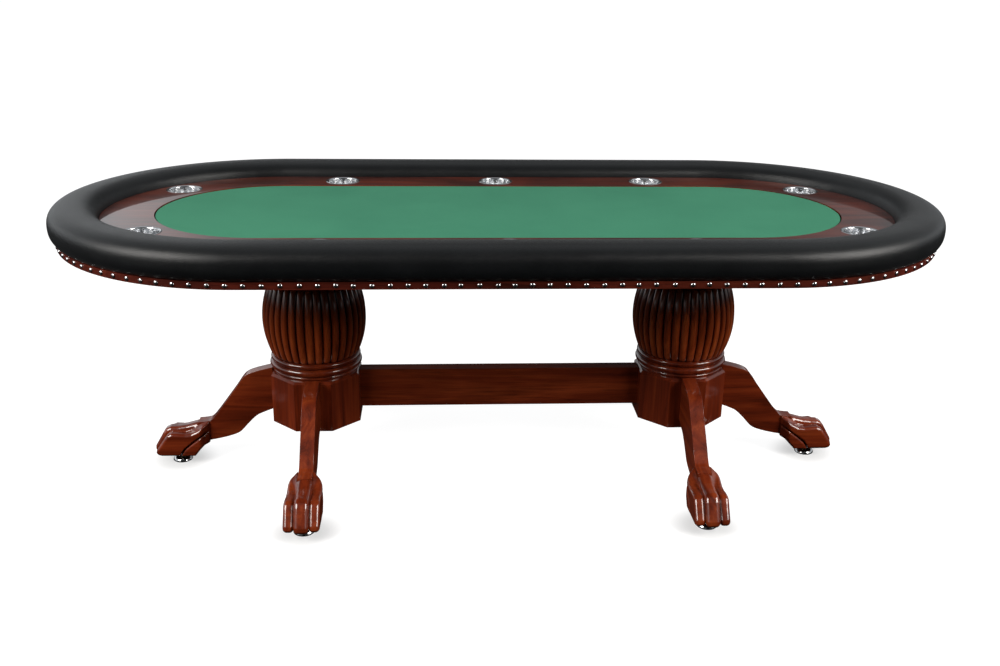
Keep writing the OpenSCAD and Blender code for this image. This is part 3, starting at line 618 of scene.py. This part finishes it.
def surface_nets(F, org, h):
    nx, ny, nz = F.shape
    S = F < 0
    idx = -np.ones((nx - 1, ny - 1, nz - 1), int)
    acc = np.zeros((nx - 1, ny - 1, nz - 1, 3)); cnt = np.zeros((nx - 1, ny - 1, nz - 1))
    cs = [(i, j, k) for i in (0, 1) for j in (0, 1) for k in (0, 1)]
    for a in cs:
        for ax in range(3):
            if a[ax]: continue
            b = list(a); b[ax] = 1
            fa = F[a[0]:nx - 1 + a[0], a[1]:ny - 1 + a[1], a[2]:nz - 1 + a[2]]
            fb = F[b[0]:nx - 1 + b[0], b[1]:ny - 1 + b[1], b[2]:nz - 1 + b[2]]
            m = (fa < 0) != (fb < 0)
            t = np.where(m, fa / np.where(m, fa - fb, 1), 0)
            for c in range(3):
                acc[..., c] += np.where(m, a[c] + (t if c == ax else 0), 0)
            cnt += m
    act = cnt > 0
    idx[act] = np.arange(act.sum())
    ii, jj, kk = np.nonzero(act)
    V = acc[act] / cnt[act][:, None] + np.stack([ii, jj, kk], 1)
    V = V * h + np.array(org)
    Q = []
    for ax in range(3):
        sl0 = [slice(1, -1)] * 3; sl1 = [slice(1, -1)] * 3
        sl0[ax] = slice(0, -1); sl1[ax] = slice(1, None)
        s0, s1 = S[tuple(sl0)], S[tuple(sl1)]
        m = s0 != s1
        I = list(np.nonzero(m))
        for c in range(3):
            if c != ax: I[c] = I[c] + 1
        flip = s0[m]
        u, v = [(1, 2), (2, 0), (0, 1)][ax]
        def cell(du, dv):
            J = [I[0].copy(), I[1].copy(), I[2].copy()]
            J[u] = J[u] - du; J[v] = J[v] - dv
            return idx[J[0], J[1], J[2]]
        q = np.stack([cell(1, 1), cell(0, 1), cell(0, 0), cell(1, 0)], 1)
        q[~flip] = q[~flip][:, ::-1]
        Q.append(q)
    return V, np.concatenate(Q)

def paw_field(h):
    x = np.arange(304, 480, h); y = np.arange(-52, 52.01, h); z = np.arange(20, 134, h)
    X2, Z2 = np.meshgrid(x, z, indexing="ij")
    X, Y, Z = np.meshgrid(x, y, z, indexing="ij")
    mid = [(306, 72), (332, 56), (354, 28), (455, 28), (468, 31), (473, 38), (472, 48), (446, 92), (438, 102), (426, 107.5), (405, 108.5), (380, 112), (355, 119), (335, 124), (306, 128)]
    sid = [(306, 72), (332, 56), (354, 28), (450, 28), (460, 31), (465, 38), (463, 48), (438, 84), (430, 94), (418, 99), (400, 98), (380, 96), (362, 98), (345, 106), (330, 115), (306, 124)]
    dm = poly_sdf(mid, X2, Z2)[:, None, :]
    ds = poly_sdf(sid, X2, Z2)[:, None, :]
    # the side toes start above the groove that sets off the small rear toe
    groove = [(300, 20), (300, 104), (318, 101), (336, 90), (354, 77), (370, 65), (384, 53), (393, 40), (400, 20)]
    dg = poly_sdf(groove, X2, Z2)[:, None, :]
    t_mid = extr(dm, np.abs(Y) - 18.6, 12.0)
    k = np.interp(X, [330, 350, 380, 412], [26, 16, 4.0, 2.2])
    F = t_mid
    for s in (-1, 1):
        yc = s * np.interp(X, [330, 400, 465], [29.0, 31.8, 32.4])
        hw = np.interp(X, [312, 345, 400, 465], [15.5, 15.4, 14.6, 13.8])
        t = extr(ds, np.abs(Y - yc) - hw, 10.5)
        F = smin(F, t, k)
    # body that joins the toes, lower than their crowns
    low = [(306, 72), (332, 56), (354, 28), (444, 28), (453, 35), (449, 50), (420, 82), (405, 85), (385, 85), (355, 95), (330, 108), (306, 118)]
    body = extr(poly_sdf(low, X2, Z2)[:, None, :], np.abs(Y) - 40, 5.0)
    F = smin(F, body, 3.0)
    # outer flats
    F = np.maximum(F, np.abs(Y) - 46.0)
    taper = (np.abs(Y) - 23 - (X - 312) * 0.95) / 1.38
    F = -smin(-F, -taper, 4.0)
    main = np.maximum(F, np.where(np.abs(Y) > 24, -dg, -1e3 + 0 * F))
    # small rear toe inside the groove
    dew2 = [(306, 70), (306, 99), (316, 97), (333, 86.5), (350, 74), (366, 62), (380, 50), (389, 38), (394, 28), (354, 28), (332, 56)]
    dd = poly_sdf(dew2, X2, Z2)[:, None, :]
    dew = -smin(-extr(dd, np.abs(Y) - 45.2, 6.0), -taper, 4.0)
    F = smin(main, dew, 1.2)
    # rear plane of the cheeks, slightly rounded
    F = -smin(-F, -(312.5 - X), 2.5)
    # slot for the leg board
    leg = np.maximum(np.abs(Y) - 19.15, X - 344.5)
    F = np.maximum(F, -leg)
    F = np.maximum(F, 28.2 - Z)
    # bore for the leveller's stem
    F = np.maximum(F, -np.maximum(np.hypot(X - 400, Y) - 8.4, Z - 60))
    return F, (x[0], y[0], z[0]), h

def relax(V, Q, it, f):
    n = len(V)
    E = np.concatenate([Q[:, [0, 1]], Q[:, [1, 2]], Q[:, [2, 3]], Q[:, [3, 0]]])
    E = np.unique(np.sort(E, 1), axis=0)
    deg = np.bincount(E.ravel(), minlength=n)[:, None]
    for _ in range(it):
        for ff in (f, -f * 1.03):
            s = np.zeros_like(V)
            np.add.at(s, E[:, 0], V[E[:, 1]]); np.add.at(s, E[:, 1], V[E[:, 0]])
            V = V + ff * (s / deg - V)
    return V

def build_paws():
    F, org, h = paw_field(1.5)
    V, Q = surface_nets(F, org, h)
    V = relax(V, Q, 3, 0.5)
    for i, (k, (ped, deg)) in enumerate(LEGS.items()):
        o = new_obj("carved_paw_" + k, (V + np.array([LONGER[k], 0, 0])) * MM, Q.tolist(), m_paw)
        place(o.data, ped, deg, i + 11)
        smooth_by_angle(o, 55)
        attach(o, "table"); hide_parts("paw_" + k)
build_paws()

# ------------------------------------------------------------------ levellers
for k in LEGS:
    lo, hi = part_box("leveller_" + k)
    cx, cy, r = (lo.x + hi.x) / 2 / MM, (lo.y + hi.y) / 2 / MM, (hi.x - lo.x) / 2 / MM
    p = [(0, 0), (r - 2.5, 0)] + arc(r - 2.2, 2.2, 2.2, -90, 10, 6) + arc(r - 16, -2.0, 16.5, 24, 62, 8) + [(13.5, 12.6), (11, 13.6), (10.2, 15), (5, 15)]
    zz = 16.0
    while zz < 56:
        p += [(4.95, zz), (4.55, zz + 0.5), (4.95, zz + 1.0)]; zz += 1.5
    p += [(4.2, 57.9), (0, 57.9)]
    o = lathe("glide_" + k, p, cx, cy, 64, m_glide)
    smooth_by_angle(o, 40)
    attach(o, "foot_" + k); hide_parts("leveller_" + k)

# ------------------------------------------------------------------ CAD nodes that stay, with their finishes
for n in ("base_block_left", "base_block_right"): assign(n, m_block); bevel(NODES[n], 2.2, 3, 30)
assign("stretcher", m_stretch); bevel(NODES["stretcher"], 2.2, 3, 40)
for n in ("skirt_front", "skirt_rear", "skirt_left_end", "skirt_right_end"): assign(n, m_skirt)
assign("racetrack", m_track)
for n in ("racetrack_riser", "rail_frame", "playing_board"): assign(n, m_ply)
assign("deck", m_deck)
for n in ("batten_front", "batten_rear"): assign(n, m_under); bevel(NODES[n], 1.5, 2, 40)
for n in ("top_plate_left", "top_plate_right"): assign(n, m_block); bevel(NODES[n], 1.5, 2, 40)
for n in ("rail_bolts", "deck_screws", "tie_rods", "frame_bolts"): assign(n, m_bolt)
assign("leveller_inserts", m_brass)
assign("rail_foam", m_foam); assign("playing_foam", m_foam2)

# ------------------------------------------------------------------ floor, light, camera
def floor():
    m, nt, b = nt_mat("pale_floor")
    src = nt.nodes.new("ShaderNodeTexCoord").outputs["Object"]
    n = nd(nt, "ShaderNodeTexNoise", Scale=1.5, Detail=3.0); lk(nt, src, n.inputs["Vector"])
    lk(nt, ramp(nt, [(0.3, (0.345,) * 3), (0.7, (0.355,) * 3)], n.outputs["Fac"]), b.inputs["Base Color"])
    b.inputs["Roughness"].default_value = 0.9
    b.inputs["Specular IOR Level"].default_value = 0.0
    b.inputs["Emission Color"].default_value = (1, 1, 1, 1)
    # soft contact shade round each foot
    shade = None
    for k, (ped, deg) in LEGS.items():
        a = math.radians(deg)
        rad = 405 + LONGER[k]
        fx, fy = (ped + rad * math.cos(a)) * MM, rad * math.sin(a) * MM
        dv = nt.nodes.new("ShaderNodeVectorMath"); dv.operation = "DISTANCE"
        lk(nt, src, dv.inputs[0]); dv.inputs[1].default_value = (fx, fy, 0)
        r = nt.nodes.new("ShaderNodeMapRange"); r.interpolation_type = "SMOOTHERSTEP"
        for kk, v in zip(("From Min", "From Max", "To Min", "To Max"), (0.025, 0.130, 0.58, 1.0)): r.inputs[kk].default_value = v
        lk(nt, dv.outputs["Value"], r.inputs["Value"])
        if shade is None: shade = r.outputs[0]
        else:
            mm = nt.nodes.new("ShaderNodeMath"); mm.operation = "MULTIPLY"
            lk(nt, shade, mm.inputs[0]); lk(nt, r.outputs[0], mm.inputs[1]); shade = mm.outputs[0]
    em = nt.nodes.new("ShaderNodeMath"); em.operation = "MULTIPLY"; em.inputs[1].default_value = 0.92
    lk(nt, shade, em.inputs[0]); lk(nt, em.outputs[0], b.inputs["Emission Strength"])
    R = 70
    o = new_obj("floor", [(-R, -R, 0), (R, -R, 0), (R, R, 0), (-R, R, 0)], [(0, 1, 2, 3)], m, smooth=False)
    o.visible_glossy = False
    o.visible_diffuse = False
floor()

def area(name, loc, target, size, size_y, power, col=(1, 1, 1)):
    l = bpy.data.lights.new(name, "AREA"); l.shape = "RECTANGLE"; l.size = size; l.size_y = size_y
    l.energy = power; l.color = col
    o = bpy.data.objects.new(name, l); bpy.context.scene.collection.objects.link(o)
    o.location = loc
    d = Vector(target) - Vector(loc)
    o.rotation_euler = d.to_track_quat("-Z", "Y").to_euler()
    return o
area("key_left", (-3.4, -2.12, 2.49), (-0.4, 0, 0.45), 2.2, 1.5, 180, (1.0, 0.97, 0.93))
area("key_right", (3.4, -2.12, 2.49), (0.4, 0, 0.45), 2.2, 1.5, 180, (1.0, 0.97, 0.93))

w = bpy.data.worlds.new("studio"); bpy.context.scene.world = w; w.use_nodes = True
wt = w.node_tree; bg = wt.nodes["Background"]
tc = wt.nodes.new("ShaderNodeTexCoord"); sp = wt.nodes.new("ShaderNodeSeparateXYZ"); wt.links.new(tc.outputs["Generated"], sp.inputs[0])
def wrange(sock, a, b_, c, d_):
    r = wt.nodes.new("ShaderNodeMapRange"); r.interpolation_type = "SMOOTHSTEP"
    for k, v in zip(("From Min", "From Max", "To Min", "To Max"), (a, b_, c, d_)): r.inputs[k].default_value = v
    wt.links.new(sock, r.inputs["Value"]); return r.outputs[0]
def wmath(op, a, b_):
    m = wt.nodes.new("ShaderNodeMath"); m.operation = op
    for k, v in enumerate((a, b_)):
        if hasattr(v, "node"): wt.links.new(v, m.inputs[k])
        else: m.inputs[k].default_value = v
    return m.outputs[0]
upv = wrange(sp.outputs["Z"], -0.03, 0.12, 0.02, 1.0)
bkv = wrange(sp.outputs["Y"], -0.70, 0.60, 0.14, 1.0)
high = wrange(sp.outputs["Z"], 0.34, 0.72, 0.0, 0.50)
low = wrange(sp.outputs["Z"], 0.30, 0.62, 1.0, 0.0)
left = wrange(sp.outputs["X"], -0.34, -0.10, 0.85, 0.0)
right = wrange(sp.outputs["X"], 0.24, 0.50, 0.0, 0.30)
side = wmath("ADD", wmath("ADD", left, right), 0.05)
tot = wmath("ADD", high, wmath("MULTIPLY", low, side))
sky = wmath("MULTIPLY", wmath("MULTIPLY", upv, bkv), tot)
# a pale band low behind the table, and a soft panel at each side
band = wmath("MULTIPLY", wmath("MULTIPLY", wrange(sp.outputs["Z"], -0.07, -0.01, 0.0, 1.0), wrange(sp.outputs["Z"], 0.05, 0.14, 1.0, 0.0)), wrange(sp.outputs["Y"], 0.30, 0.75, 0.0, 0.65))
mid_z = wmath("MULTIPLY", wrange(sp.outputs["Z"], 0.04, 0.14, 0.0, 1.0), wrange(sp.outputs["Z"], 0.52, 0.68, 1.0, 0.0))
panels = wmath("MULTIPLY", mid_z, wmath("ADD", wrange(sp.outputs["X"], -0.86, -0.70, 0.45, 0.0), wrange(sp.outputs["X"], 0.70, 0.86, 0.0, 0.45)))
# seen directly the backdrop is plain white from every side, as the floor is
seen = wt.nodes.new("ShaderNodeLightPath").outputs["Is Camera Ray"]
glow = wmath("MULTIPLY", wmath("ADD", sky, wmath("ADD", band, panels)), wmath("SUBTRACT", 1.0, seen))
wt.links.new(wmath("ADD", glow, wmath("MULTIPLY", seen, 1.10)), bg.inputs[1])
bg.inputs[0].default_value = (0.93, 0.97, 1.0, 1)

cam = bpy.data.cameras.new("camera"); co = bpy.data.objects.new("camera", cam)
bpy.context.scene.collection.objects.link(co)
yaw, pitch, roll = -0.0603, 0.345, 0.0147
Xh = Vector((math.cos(yaw), math.sin(yaw), 0)); Yh = Vector((-math.sin(yaw), math.cos(yaw), 0)); Zv = Vector((0, 0, 1))
fwd = math.cos(pitch) * Yh - math.sin(pitch) * Zv
up0 = math.sin(pitch) * Yh + math.cos(pitch) * Zv
right = math.cos(roll) * Xh + math.sin(roll) * up0
up = math.cos(roll) * up0 - math.sin(roll) * Xh
Mx = Matrix((( right.x, up.x, -fwd.x, -0.17511), (right.y, up.y, -fwd.y, -2.88498), (right.z, up.z, -fwd.z, 1.42360), (0, 0, 0, 1)))
co.matrix_world = Mx
cam.sensor_width = 36.0; cam.sensor_fit = "HORIZONTAL"; cam.lens = 1075.16 * 36 / 1000
cam.clip_end = 200
bpy.context.scene.camera = co
bpy.context.scene.view_settings.view_transform = "Standard"
